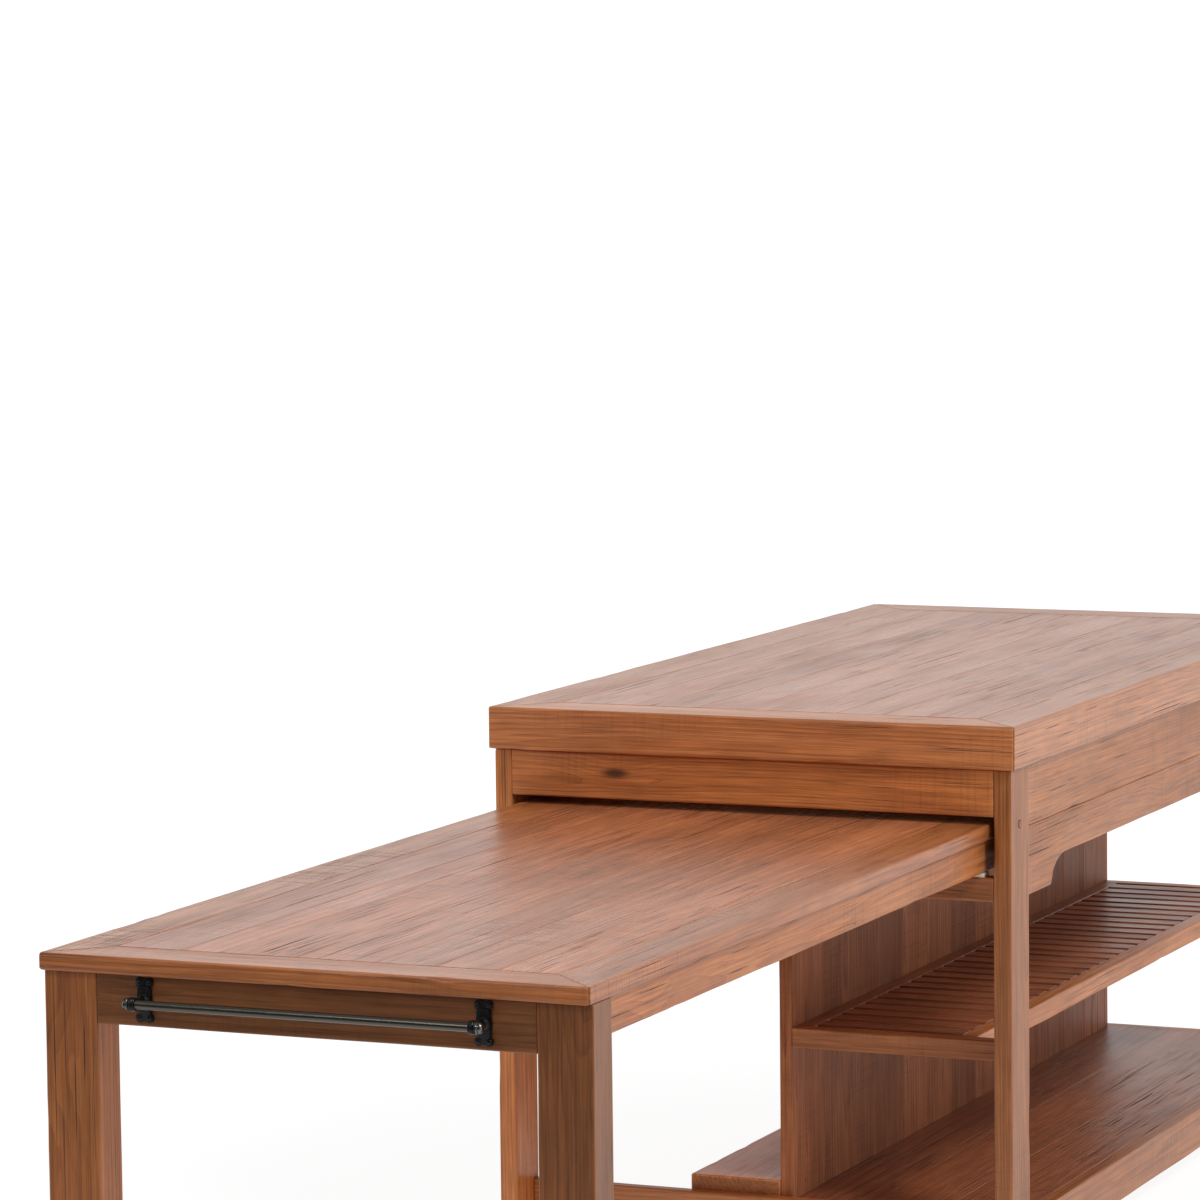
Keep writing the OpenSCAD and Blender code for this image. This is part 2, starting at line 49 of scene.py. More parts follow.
class Wire:
    # A node's output, so that maths on it can be written as an expression.
    def __init__(self, bench, socket):
        self.bench, self.socket = bench, socket

    def maths(self, operation, *others):
        values = {0: self}
        values.update({i + 1: other for i, other in enumerate(others)})
        return self.bench.add("ShaderNodeMath", {"operation": operation}, values)

    def __add__(self, other):
        return self.maths("ADD", other)

    def __mul__(self, other):
        return self.maths("MULTIPLY", other)

    def __sub__(self, other):
        return self.maths("SUBTRACT", other)

    def __rsub__(self, other):
        return (self * -1) + other

    def __truediv__(self, other):
        return self.maths("DIVIDE", other)

    def __pow__(self, other):
        return self.maths("POWER", other)

    __radd__ = __add__
    __rmul__ = __mul__

    def part(self):                                            # what is left after the whole number
        return self.maths("FRACT")

    def least(self, other):
        return self.maths("MINIMUM", other)

    def above(self, other):
        return self.maths("GREATER_THAN", other)

    def ramp(self, low, high):                                 # 0 below low, 1 above high, smooth between
        return self.bench.add("ShaderNodeMapRange", {"interpolation_type": "SMOOTHSTEP"},
                              {"Value": self, "From Min": low, "From Max": high})


class Bench:
    # The node tree of one material, or of the room, with the Principled shader if there is one.
    def __init__(self, owner):
        owner.use_nodes = True
        self.owner, self.tree = owner, owner.node_tree
        self.shader = self.tree.nodes.get("Principled BSDF")

    def add(self, kind, settings=None, values=None, out=0):
        node = self.tree.nodes.new(kind)
        for key, value in (settings or {}).items():
            setattr(node, key, value)
        for key, value in (values or {}).items():
            self.feed(node.inputs[key], value)
        return Wire(self, node.outputs[out])

    def feed(self, socket, value):
        if isinstance(value, Wire):
            self.tree.links.new(value.socket, socket)
        else:
            socket.default_value = value

    def attribute(self, name, out):
        return self.add("ShaderNodeAttribute", {"attribute_name": name}, out=out)

    def split(self, vector):
        node = self.tree.nodes.new("ShaderNodeSeparateXYZ")
        self.feed(node.inputs[0], vector)
        return [Wire(self, socket) for socket in node.outputs]

    def point(self, x, y, z):
        return self.add("ShaderNodeCombineXYZ", None, {0: x, 1: y, 2: z})

    def stretched(self, vector, scales):
        return self.add("ShaderNodeVectorMath", {"operation": "MULTIPLY"}, {0: vector, 1: scales})

    def grit(self, vector, detail=2.0, rough=0.5, out=0):      # noise between 0 and 1
        return self.add("ShaderNodeTexNoise", None,
                        {"Vector": vector, "Scale": 1.0, "Detail": detail, "Roughness": rough}, out)

    def cells(self, vector):                                   # distance to the nearest one, and its colour
        near = self.add("ShaderNodeTexVoronoi", None, {"Vector": vector, "Scale": 1.0})
        return near, Wire(self, near.socket.node.outputs["Color"])

    def bump(self, height, strength, depth):
        return self.add("ShaderNodeBump", None, {"Height": height, "Strength": strength, "Distance": depth})

    def blend(self, amount, first, second, how="MIX"):         # two colours
        return self.add("ShaderNodeMix", {"data_type": "RGBA", "blend_type": how},
                        {0: amount, 6: first, 7: second}, 2)

    def finish(self, **inputs):
        for key, value in inputs.items():
            self.feed(self.shader.inputs[key.replace("_", " ")], value)
        return self.owner


def newBench(name):
    return Bench(bpy.data.materials.new(name))


def colour(red, green, blue):
    return (red, green, blue, 1.0)


# early and late are the two woods of a year ring, deep the stain that gathers in hollows.
woods = {
    "islandTop": dict(early=(0.50, 0.190, 0.085), late=(0.24, 0.072, 0.026), deep=(0.045, 0.014, 0.007),
                      rough=0.31, rings=0.0080, contrast=0.45,
                      saw=0.25, cracks=0.68, fibre=1.2, streak=0.40, shine=0.50),
    "tableTop": dict(early=(0.50, 0.180, 0.074), late=(0.23, 0.066, 0.022), deep=(0.045, 0.014, 0.007),
                     rough=0.30, rings=0.0085, contrast=0.48,
                     saw=0.45, cracks=0.665, fibre=1.3, streak=0.46, shine=0.50),
    "frameWood": dict(early=(0.52, 0.182, 0.050), late=(0.26, 0.074, 0.017), deep=(0.050, 0.016, 0.008),
                      rough=0.40, rings=0.0060, contrast=0.48,
                      saw=0.30, cracks=0.70, fibre=1.3, streak=0.46, shine=0.42),
    "dividerWood": dict(early=(0.40, 0.140, 0.054), late=(0.19, 0.056, 0.020), deep=(0.036, 0.013, 0.008),
                        rough=0.50, rings=0.0085, contrast=0.62,
                        saw=0.30, cracks=0.70, fibre=1.3, streak=0.45, shine=0.15),
    "shelfWood": dict(early=(0.34, 0.115, 0.048), late=(0.16, 0.047, 0.019), deep=(0.032, 0.011, 0.007),
                      rough=0.36, rings=0.0080, contrast=0.72,
                      saw=0.40, cracks=0.64, fibre=1.3, streak=0.45, shine=0.38),
    "innerWood": dict(early=(0.55, 0.36, 0.20), late=(0.40, 0.23, 0.11), deep=(0.16, 0.08, 0.04),
                      rough=0.62, rings=0.0070, contrast=0.80,
                      saw=0.80, cracks=0.76, fibre=0.8, streak=0.38, shine=0.40),
    "plugWood": dict(early=(0.44, 0.145, 0.052), late=(0.24, 0.070, 0.022), deep=(0.030, 0.012, 0.007),
                     rough=0.45, rings=0.0020, contrast=0.60,
                     saw=0.00, cracks=0.90, fibre=0.8, streak=0.38, shine=0.40),
}


woods["islandBorder"] = dict(woods["islandTop"], early=(0.51, 0.186, 0.062), late=(0.25, 0.073, 0.020))
woods["tableBorder"] = dict(woods["tableTop"], early=(0.51, 0.180, 0.058), late=(0.24, 0.068, 0.018))
woods["sawnBorder"] = dict(woods["tableBorder"], saw=1.5)


# How far each pattern is stretched along, across and through a board, per metre.
stretch = {
    "knot": (3.2, 9.0, 2.0), "drift": (1.1, 5.0, 5.0), "waver": (7.0, 60.0, 60.0),
    "fibre": (7.0, 340.0, 340.0), "streak": (2.4, 150.0, 150.0), "cloud": (2.2, 11.0, 11.0),
    "mottle": (16.0, 40.0, 40.0), "crack": (4.0, 380.0, 380.0), "crackPlace": (1.7, 9.0, 9.0),
    "pit": (17.0, 21.0, 21.0), "sawPlace": (2.3, 6.0, 6.0), "saw": (160.0, 5.0, 5.0),
}
# Where each pattern starts and ends, and how rare knots and pits are.
limits = {
    "knot": (0.03, 0.115), "swirl": (0.05, 0.42), "lateEnd": (0.93, 1.0), "crackPlace": (0.46, 0.66),
    "pit": (0.022, 0.045), "sawPlace": (0.50, 0.62), "saw": (0.50, 0.66), "streak": (0.40, 0.70),
    "cloud": (0.42, 0.80), "knotRare": 0.80, "pitRare": 0.86, "crackEdge": 0.04,
}
# How the year rings lie: how far their heart wanders, what bends them, and how fast they darken.
ringShape = {"wander": 0.060, "waver": 0.9, "swirl": 2.2, "pace": 0.9, "slowest": 0.6, "darkening": 2.2}
# How much each pattern changes the colour, the roughness and the height of the face.
tint = {
    "cloud": 0.50, "hue": 0.25, "mottle": 0.50, "saw": 0.34, "level": 1.03, "knot": 0.88, "crack": 0.90,
    "endGrainAndRimShade": 0.45, "rubbed": 0.32, "rubCloud": 0.9, "rubAlways": 0.35,
    "redder": (0.95, 0.80, 0.78), "hole": (0.012, 0.007, 0.005),
}
roughen = {"fibre": 0.16, "cloud": 0.18, "crack": 0.3, "endGrainAndRimShade": 0.15}
relief = {
    "fibre": 0.30, "streak": 0.45, "late": 0.35, "crack": 2.2, "pit": 3.0, "saw": 0.9, "knot": 0.4,
    "strength": 0.55, "depth": 0.0011,
}


def woodFinish(name, look):
    bench = newBench(name)
    grain = bench.attribute("grain", 1)                        # along, across and through, in metres
    # The board's lightness carries its part's stain together with painted shade and painted light.
    toneWithShade, hue, pace = bench.split(bench.attribute("board", 1)) # how light it is, and two random numbers
    wear = bench.attribute("wear", 2)                          # 1 on an arris, 0 on a face
    endGrainAndRimShade = bench.attribute("endGrainAndRimShade", 2)

    def pattern(kind, detail=2.0, rough=0.5, out=0):
        return bench.grit(bench.stretched(grain, stretch[kind]), detail, rough, out)

    # Knots and pits are a few cells of a stretched pattern: how far off the cell is, and its random colour.
    knotFar, knotPick = bench.cells(bench.stretched(grain, stretch["knot"]))
    picked = bench.split(knotPick)[0].above(limits["knotRare"])
    knot = (1 - knotFar.ramp(*limits["knot"])) * picked
    swirl = (1 - knotFar.ramp(*limits["swirl"])) * picked
    pitFar, pitPick = bench.cells(bench.stretched(grain, stretch["pit"]))
    pit = (1 - pitFar.ramp(*limits["pit"])) * bench.split(pitPick)[1].above(limits["pitRare"])

    # Year rings round a heart that wanders along the board.
    drift = bench.split(pattern("drift", out=1))
    _, across, through = bench.split(grain)
    side = across + (drift[0] - 0.5) * ringShape["wander"]
    depth = through + (drift[1] - 0.5) * ringShape["wander"]
    reach = (side * side + depth * depth) ** 0.5
    rings = reach / look["rings"] * (pace * ringShape["pace"] + ringShape["slowest"])
    turn = (rings + pattern("waver") * ringShape["waver"] + swirl * ringShape["swirl"]).part()
    late = (turn ** ringShape["darkening"]) * (1 - turn.ramp(*limits["lateEnd"]))

    # Fibres, streaks and slow changes of colour.
    fibre = pattern("fibre", 3.0, 0.65)
    streak = pattern("streak", 3.0, 0.6)
    cloud = pattern("cloud", 3.0, 0.55)
    mottle = pattern("mottle")

    # Drying cracks, and the marks of the saw across the grain, both in patches.
    crackPlace = pattern("crackPlace", 1.0).ramp(*limits["crackPlace"])
    crackStart = look["cracks"] - limits["crackEdge"]
    crack = pattern("crack", 2.0, 0.45).ramp(crackStart, look["cracks"]) * crackPlace
    sawPlace = pattern("sawPlace", 1.0).ramp(*limits["sawPlace"])
    sawLine = pattern("saw", 1.0).ramp(*limits["saw"]) * sawPlace * look["saw"]

    # Colour, from the plain wood to what lies in its hollows.
    early, dark, deep = colour(*look["early"]), colour(*look["late"]), colour(*look["deep"])
    streaked = streak.ramp(*limits["streak"]) * look["streak"]
    base = bench.blend(late * look["contrast"] + streaked, early, dark)
    base = bench.blend(cloud.ramp(*limits["cloud"]) * tint["cloud"], base, dark)
    redder = bench.blend(1.0, base, colour(*tint["redder"]), "MULTIPLY")
    base = bench.blend(hue * tint["hue"], base, redder)
    shade = (fibre - 0.5) * look["fibre"] + (mottle - 0.5) * tint["mottle"] - sawLine * tint["saw"]
    # Multiplying by the board's lightness paints its part's shade and light along with its stain.
    shade = (shade + tint["level"]) * toneWithShade
    base = bench.blend(1.0, base, bench.point(shade, shade, shade), "MULTIPLY")
    base = bench.blend(knot * tint["knot"], base, deep)
    base = bench.blend(crack * tint["crack"], base, deep)
    base = bench.blend(pit, base, colour(*tint["hole"]))
    # Board ends darken with their end grain; on the plugs the same value is painted shade at the rim.
    base = bench.blend(endGrainAndRimShade * tint["endGrainAndRimShade"], base, deep)
    rubbed = (wear * (cloud * tint["rubCloud"] + tint["rubAlways"])).least(1.0)
    base = bench.blend(rubbed * tint["rubbed"], base, bench.blend(0.5, early, dark))

    rough = (fibre - 0.5) * roughen["fibre"] + (cloud - 0.5) * roughen["cloud"] + look["rough"]
    rough = rough + crack * roughen["crack"] + endGrainAndRimShade * roughen["endGrainAndRimShade"]
    height = fibre * relief["fibre"] + streak * relief["streak"] - late * relief["late"]
    height = height - crack * relief["crack"] - pit * relief["pit"]
    height = height - sawLine * relief["saw"] - knot * relief["knot"]
    bump = bench.bump(height, relief["strength"], relief["depth"])
    bench.shader.inputs["Specular IOR Level"].default_value = look["shine"]
    return bench.finish(Base_Color=base, Roughness=rough, Normal=bump)


metals = {
    "blackIron": dict(body=(0.007, 0.007, 0.007), worn=(0.022, 0.022, 0.021), rough=0.27, metallic=0.5),
    "barSteel": dict(body=(0.105, 0.096, 0.080), worn=(0.125, 0.115, 0.098), rough=0.22, metallic=1.0),
    "capSteel": dict(body=(0.16, 0.155, 0.15), worn=(0.36, 0.35, 0.34), rough=0.20, metallic=1.0),
}


metalGrain = {                # how fine each pattern is, per metre, and what it changes
    "pebble": (900.0, 900.0, 900.0), "smear": (60.0, 60.0, 60.0), "lines": (30.0, 2600.0, 2600.0),
    "wear": (0.50, 0.78), "wornShare": 0.6, "roughness": 0.08, "offset": 0.06,
    "strength": 0.12, "depth": 0.0001,
}


def metalFinish(name, look, brushed):
    bench = newBench(name)
    place = bench.add("ShaderNodeTexCoord", out=3)
    smear = bench.grit(bench.stretched(place, metalGrain["smear"]), 3.0, 0.55)
    if brushed:
        texture = bench.grit(bench.stretched(place, metalGrain["lines"]), 2.0, 0.6)
    else:
        texture = bench.grit(bench.stretched(place, metalGrain["pebble"]), 3.0, 0.6)
    wear = smear.ramp(*metalGrain["wear"])
    base = bench.blend(wear * metalGrain["wornShare"], colour(*look["body"]), colour(*look["worn"]))
    rough = (texture + smear) * metalGrain["roughness"] + (look["rough"] - metalGrain["offset"])
    bump = bench.bump(texture, metalGrain["strength"], metalGrain["depth"])
    return bench.finish(Base_Color=base, Roughness=rough, Normal=bump, Metallic=look["metallic"])


plasticGrain = {
    "pebble": (1400.0, 1400.0, 1400.0), "scuff": (45.0, 45.0, 45.0), "scuffed": (0.55, 0.75),
    "lighter": 1.6, "lift": 0.03, "scuffShare": 0.35,
    "rough": 0.45, "roughness": 0.15, "strength": 0.3, "depth": 0.0002,
}


def plasticFinish(name, shade):
    bench = newBench(name)
    place = bench.add("ShaderNodeTexCoord", out=3)
    pebble = bench.grit(bench.stretched(place, plasticGrain["pebble"]), 2.0, 0.6)
    scuff = bench.grit(bench.stretched(place, plasticGrain["scuff"]), 4.0, 0.6)
    scuff = scuff.ramp(*plasticGrain["scuffed"])
    scuffedShade = [min(1, part * plasticGrain["lighter"] + plasticGrain["lift"]) for part in shade]
    base = bench.blend(scuff * plasticGrain["scuffShare"], colour(*shade), colour(*scuffedShade))
    rough = (pebble + scuff) * plasticGrain["roughness"] + plasticGrain["rough"]
    bump = bench.bump(pebble, plasticGrain["strength"], plasticGrain["depth"])
    return bench.finish(Base_Color=base, Roughness=rough, Normal=bump)


finishes = {name: woodFinish(name, look) for name, look in woods.items()}
finishes.update({name: metalFinish(name, look, name != "blackIron") for name, look in metals.items()})
finishes["padPlastic"] = plasticFinish("padPlastic", (0.72, 0.69, 0.62))
finishes["glidePlastic"] = plasticFinish("glidePlastic", (0.030, 0.030, 0.031))
print("finishes made:", len(finishes))


boardShape = {
    "arris": 0.0022,          # radius of a softened edge
    "arrisMost": 0.22,        # and its most, as a share of the thickness
    "step": 0.032,            # distance between two sections
    "endInset": 0.0012,       # how far the end's face stops short of its rounded rim
    "endClear": 0.003,        # from the rim to the first plain section
    "waves": 0.0005,          # how deep the faces undulate
    "waveLength": 0.11, "waveSpread": 0.05,
    "wearLow": 0.65, "wearSpread": 0.9, "wearLength": 0.09,    # how the radius changes along an edge
    "bite": 0.05, "biteGrowth": 1.9,                           # share of the sections knocked, how much
    "worst": 0.30, "leastShare": 0.25, "endTaper": 0.75,       # bounds of the radius
    "rubLow": 0.4, "rubSpread": 0.6, "rubLength": 0.14,        # how bare an edge is rubbed
    "heartSide": 0.12, "heartNear": 0.015, "heartFar": 0.07,   # where the heart of the tree lay
    "logLength": 40,
}
# A section's own points: how far in the rim and the flat begin, and the sizes that get more points.
sectionShape = {
    "rim": 0.0015, "rimWear": 0.5, "flat": 0.007, "flatWear": 0.08, "roomForFlat": 0.026,
    "roomForMiddle": 0.012, "few": 0.05, "some": 0.12,
}
cornerAngles = (0, 30, 60, 90)
flatWearMost = 0.3                                             # below this a point lies on a face


def looseSolids(node):
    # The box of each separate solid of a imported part, in order along X, Y and Z.
    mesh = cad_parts[node].data
    places = np.empty(len(mesh.vertices) * 3)
    mesh.vertices.foreach_get("co", places)
    places = places.reshape(-1, 3)
    fineness = 20000                                           # corners nearer than 0.05 mm are the same
    spots, same = np.unique(np.round(places * fineness).astype(int), axis=0, return_inverse=True)
    same = same.ravel()
    owner = list(range(len(spots)))

    def root(i):
        while owner[i] != i:
            owner[i] = owner[owner[i]]
            i = owner[i]
        return i

    for face in mesh.polygons:
        first = root(same[face.vertices[0]])
        for corner in face.vertices[1:]:
            owner[root(same[corner])] = first
    groups = {}
    for i, spot in enumerate(same):
        groups.setdefault(root(spot), []).append(places[i])
    boxes = [(np.min(group, axis=0), np.max(group, axis=0)) for group in groups.values()]
    return sorted(boxes, key=lambda pair: tuple(np.round(pair[0], 3)))


def ripple(rng, spots, length):
    # Smooth random values, 0 to 1, at places along a line.
    knots = rng.random(int(spots[-1] / length) + 4)
    at = spots / length
    low = np.floor(at).astype(int)
    mix = at - low
    mix = mix * mix * (3 - 2 * mix)
    return knots[low] * (1 - mix) + knots[low + 1] * mix


def sectionRing(width, thick):
    # Points round a board's section. Each holds a share of the width and thickness, how many arris radii
    # and how many metres it is moved by, its nearest corner, and how worn it is.
    ring = []

    def corner(index, a, b, start):
        for turn in cornerAngles:
            angle = math.radians(start + turn)
            ring.append((a, b, (1 if a == 0 else -1) + math.cos(angle),
                         (1 if b == 0 else -1) + math.sin(angle), 0, 0, index, 1.0))

    def side(first, second, fixed, alongWidth, forward):
        size = width if alongWidth else thick
        near = [(0, 1, sectionShape["rim"], sectionShape["rimWear"])]
        if size > sectionShape["roomForFlat"]:
            near.append((0, 1, sectionShape["flat"], sectionShape["flatWear"]))
        far = [(1, -1, -move, worn) for _, _, move, worn in reversed(near)]
        count = 1 if size < sectionShape["few"] else 3 if size < sectionShape["some"] else 5
        middle = [((i + 1) / (count + 1), 0, 0, 0.0) for i in range(count)]
        if size <= sectionShape["roomForMiddle"]:
            middle = []
        points = near + middle + far
        if not forward:
            points = points[::-1]
        for share, radii, move, worn in points:
            index = first if (share < 0.5) == forward else second
            if alongWidth:
                ring.append((share, fixed, radii, 0, move, 0, index, worn))
            else:
                ring.append((fixed, share, 0, radii, 0, move, index, worn))

    corner(0, 0, 0, 180)
    side(0, 1, 0, True, True)
    corner(1, 1, 0, 270)
    side(1, 2, 1, False, True)
    corner(2, 1, 1, 0)
    side(2, 3, 1, True, False)
    corner(3, 0, 1, 90)
    side(3, 0, 0, False, False)
    return np.array(ring)


def note(mesh, layer, values):
    # Store one value or one vector for each point of a mesh, for the wood finishes to read.
    vectors = layer in ("grain", "board")
    store = mesh.attributes.new(layer, "FLOAT_VECTOR" if vectors else "FLOAT", "POINT")
    store.data.foreach_set("vector" if vectors else "value", np.ravel(values))


class Stack:
    # Boards of one piece, gathered into one mesh.
    def __init__(self):
        self.points, self.faces = [], []
        self.layers = {"grain": [], "board": [], "wear": [], "endGrainAndRimShade": []}
        self.count = 0

    # under gives the lower edge's height at a distance along the board, breaks the sections it needs there.
    def board(self, low, high, along, seed, stainWithShade, spread, mitre=None, under=None, arris=None, breaks=()):
        rng = np.random.default_rng(seed)
        low, high = np.array(low, float), np.array(high, float)
        size = high - low
        others = [axis for axis in range(3) if axis != along]
        wide, thin = sorted(others, key=lambda axis: -size[axis])
        if under is not None:
            wide, thin = 2, [axis for axis in others if axis != 2][0]
        length, width, thick = size[along], size[wide], size[thin]
        shape = boardShape
        arris = min(arris or shape["arris"], thick * shape["arrisMost"])

        # Sections: rounded ends, then a row between them.
        endRows = [(0.0, arris + shape["endInset"], 1.0)]
        for turn in cornerAngles:
            angle = math.radians(turn)
            endRows.append((arris * (1 - math.cos(angle)), arris * (1 - math.sin(angle)), 0.6))
        count = max(2, int(length / shape["step"]))
        inner = np.linspace(arris + shape["endClear"], length - arris - shape["endClear"], count)
        if len(breaks):
            inner = np.unique(np.concatenate([inner, np.array(breaks)]))
        rows = endRows + [(t, 0.0, 0.0) for t in inner]
        rows += [(length - t, inset, end) for t, inset, end in reversed(endRows)]
        at, inset, ends = np.array(rows).T
        ring = sectionRing(width, thick)
        shareW, shareT, radiiW, radiiT, moveW, moveT, corner, worn = ring.T
        corner = corner.astype(int)

        # Every arris has its own wear, with a knock here and there.
        edges = [shape["wearLow"] + shape["wearSpread"] * ripple(rng, at + 1, shape["wearLength"])
                 for _ in range(4)]
        radius = arris * np.stack(edges, 1)
        knocked = rng.random(radius.shape) < shape["bite"]
        radius = np.where(knocked, radius * shape["biteGrowth"], radius)
        radius = np.minimum(radius, thick * shape["worst"])
        tapered = radius - inset[:, None] * shape["endTaper"]
        radius = np.maximum(tapered, arris * shape["leastShare"])[:, corner]

        lowW = np.full(len(at), low[wide]) if under is None else np.array([under(t) for t in at])
        highW = np.full(len(at), high[wide])
        sizeW = highW - lowW - 2 * inset
        sizeT = thick - 2 * inset
        placeW = (lowW + inset)[:, None] + shareW * sizeW[:, None] + radiiW * radius + moveW
        placeT = (low[thin] + inset)[:, None] + shareT * sizeT[:, None] + radiiT * radius + moveT

        # Faces sink a little, by different amounts along and across.
        face = (worn < flatWearMost)[None, :] * (ends == 0)[:, None]
        sink = np.stack([ripple(rng, at + 1, shape["waveLength"] + shape["waveSpread"] * rng.random())
                         for _ in range(len(corner))], 1)
        sink = sink * shape["waves"] * face
        onW = (radiiW == 0) & ((shareW == 0) | (shareW == 1)) & (moveW == 0) & (radiiT != 0) | \
              ((radiiW == 0) & (radiiT == 0) & ((shareW == 0) | (shareW == 1)))
        placeW = placeW + np.where(onW, np.where(shareW == 0, 1, -1), 0) * sink
        placeT = placeT + np.where(~onW, np.where(shareT == 0, 1, np.where(shareT == 1, -1, 0)), 0) * sink

        placeL = np.repeat(at[:, None], len(corner), 1)
        if mitre is not None:                                  # ends cut at 45 degrees, this side longest
            away = placeW - low[wide] if mitre == "low" else high[wide] - placeW
            placeL = placeL + away * (1 - 2 * placeL / length)
        points = np.empty((len(at), len(corner), 3))
        points[..., along] = low[along] + placeL
        points[..., wide] = placeW
        points[..., thin] = placeT

        # Faces, turned the right way round for this set of axes.
        rowsN, ringN = len(at), len(corner)
        index = np.arange(rowsN * ringN).reshape(rowsN, ringN) + self.count
        turned = np.roll(index, -1, axis=1)
        quads = np.stack([index[:-1], turned[:-1], turned[1:], index[1:]], -1).reshape(-1, 4)
        flip = (wide - along) % 3 == 1
        quads = quads[:, ::-1] if flip else quads
        first, last = list(index[0]), list(index[-1])
        caps = [first if flip else first[::-1], last[::-1] if flip else last]
        self.faces += quads.tolist() + [[int(i) for i in cap] for cap in caps]
        self.points.append(points.reshape(-1, 3))
        self.count += rowsN * ringN

        # The tree it was cut from: how far its heart lies from the board, and where along.
        heartSide = (rng.random() - 0.5) * shape["heartSide"]
        heartDepth = shape["heartNear"] + shape["heartFar"] * rng.random()
        heartDepth = heartDepth if rng.random() < 0.5 else -heartDepth
        start = rng.random() * shape["logLength"]
        grain = np.stack([placeL + start, placeW - (low[wide] + high[wide]) / 2 + heartSide,
                          placeT - (low[thin] + high[thin]) / 2 + heartDepth], -1).reshape(-1, 3)
        self.layers["grain"].append(grain)
        chance = rng.random(3)
        # The board's lightness: its part's stain with painted shade and painted light, times a random tone.
        chance[0] = stainWithShade * (1 + (chance[0] - 0.5) * 2 * spread)
        self.layers["board"].append(np.tile(chance, (rowsN * ringN, 1)))
        rubs = [shape["rubLow"] + shape["rubSpread"] * ripple(rng, at + 1, shape["rubLength"])
                for _ in range(4)]
        rub = np.stack(rubs, 1)[:, corner]
        self.layers["wear"].append((worn[None, :] * rub).ravel())
        self.layers["endGrainAndRimShade"].append(np.repeat((ends > 0.9).astype(float)[:, None], ringN, 1).ravel())

    def piece(self, name, finish):
        mesh = bpy.data.meshes.new(name)
        mesh.from_pydata(np.concatenate(self.points).tolist(), [], self.faces)
        for layer, parts in self.layers.items():
            note(mesh, layer, np.concatenate(parts).astype(np.float32))
        mesh.shade_smooth()
        mesh.materials.append(finishes[finish])
        mesh.update()
        thing = bpy.data.objects.new(name, mesh)
        bpy.context.scene.collection.objects.link(thing)
        return thing


def fit(thing, body, slot, *nodes):
    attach(thing, body)
    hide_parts(*nodes)
    return thing


acrossX, alongY, upZ = 0, 1, 2
# Each imported part of wood: the way its grain runs, its finish, its slot and its body.
timbers = {
    "top_planks": (alongY, "islandTop", "island_top_wood", "island"),
    "top_battens": (acrossX, "innerWood", "inner_wood", "island"),
    "leg_front_left": (upZ, "frameWood", "frame_wood", "island"),
    "leg_front_right": (upZ, "frameWood", "frame_wood", "island"),
    "leg_back_left": (upZ, "frameWood", "frame_wood", "island"),
    "leg_back_right": (upZ, "frameWood", "frame_wood", "island"),
    "end_rail_front": (acrossX, "frameWood", "frame_wood", "island"),
    "end_rail_back": (acrossX, "frameWood", "frame_wood", "island"),
    "side_apron_left_upper": (alongY, "frameWood", "frame_wood", "island"),
    "side_apron_right_upper": (alongY, "frameWood", "frame_wood", "island"),
    "cross_rail_front": (acrossX, "frameWood", "frame_wood", "island"),
    "cross_rail_back": (acrossX, "frameWood", "frame_wood", "island"),
    "runner_left": (alongY, "innerWood", "inner_wood", "island"),
    "runner_right": (alongY, "innerWood", "inner_wood", "island"),
    "keeper_left": (alongY, "innerWood", "inner_wood", "island"),
    "keeper_right": (alongY, "innerWood", "inner_wood", "island"),
    "stop_bar": (acrossX, "innerWood", "inner_wood", "island"),
    "divider_planks": (upZ, "dividerWood", "divider_wood", "island"),
    "divider_stile_front": (upZ, "dividerWood", "divider_wood", "island"),
    "divider_stile_back": (upZ, "dividerWood", "divider_wood", "island"),
    "divider_top_rail": (alongY, "dividerWood", "divider_wood", "island"),
    "slat_shelf_rail_front": (acrossX, "frameWood", "frame_wood", "island"),
    "slat_shelf_rail_back": (acrossX, "frameWood", "frame_wood", "island"),
    "slat_shelf_slats": (acrossX, "shelfWood", "shelf_wood", "island"),
    "low_shelf_boards": (alongY, "shelfWood", "shelf_wood", "island"),
    "base_rail_right": (alongY, "frameWood", "frame_wood", "island"),
    "stretcher_front": (acrossX, "frameWood", "frame_wood", "island"),
    "stretcher_back": (acrossX, "frameWood", "frame_wood", "island"),
    "base_sleepers": (alongY, "innerWood", "inner_wood", "island"),
    "base_bearers": (acrossX, "innerWood", "inner_wood", "island"),
    "foot_board": (alongY, "frameWood", "shelf_wood", "island"),
    "foot_rail": (alongY, "frameWood", "frame_wood", "island"),
    "foot_cleat": (alongY, "innerWood", "inner_wood", "island"),
    "table_planks": (alongY, "tableTop", "table_top_wood", "table"),
    "table_leg_left": (upZ, "frameWood", "frame_wood", "table"),
    "table_leg_right": (upZ, "frameWood", "frame_wood", "table"),
    "table_apron_end": (acrossX, "frameWood", "frame_wood", "table"),
    "table_apron_sides": (alongY, "frameWood", "frame_wood", "table"),
    "table_apron_inner": (acrossX, "frameWood", "frame_wood", "table"),
    "table_stop_cleat": (acrossX, "innerWood", "inner_wood", "table"),
}
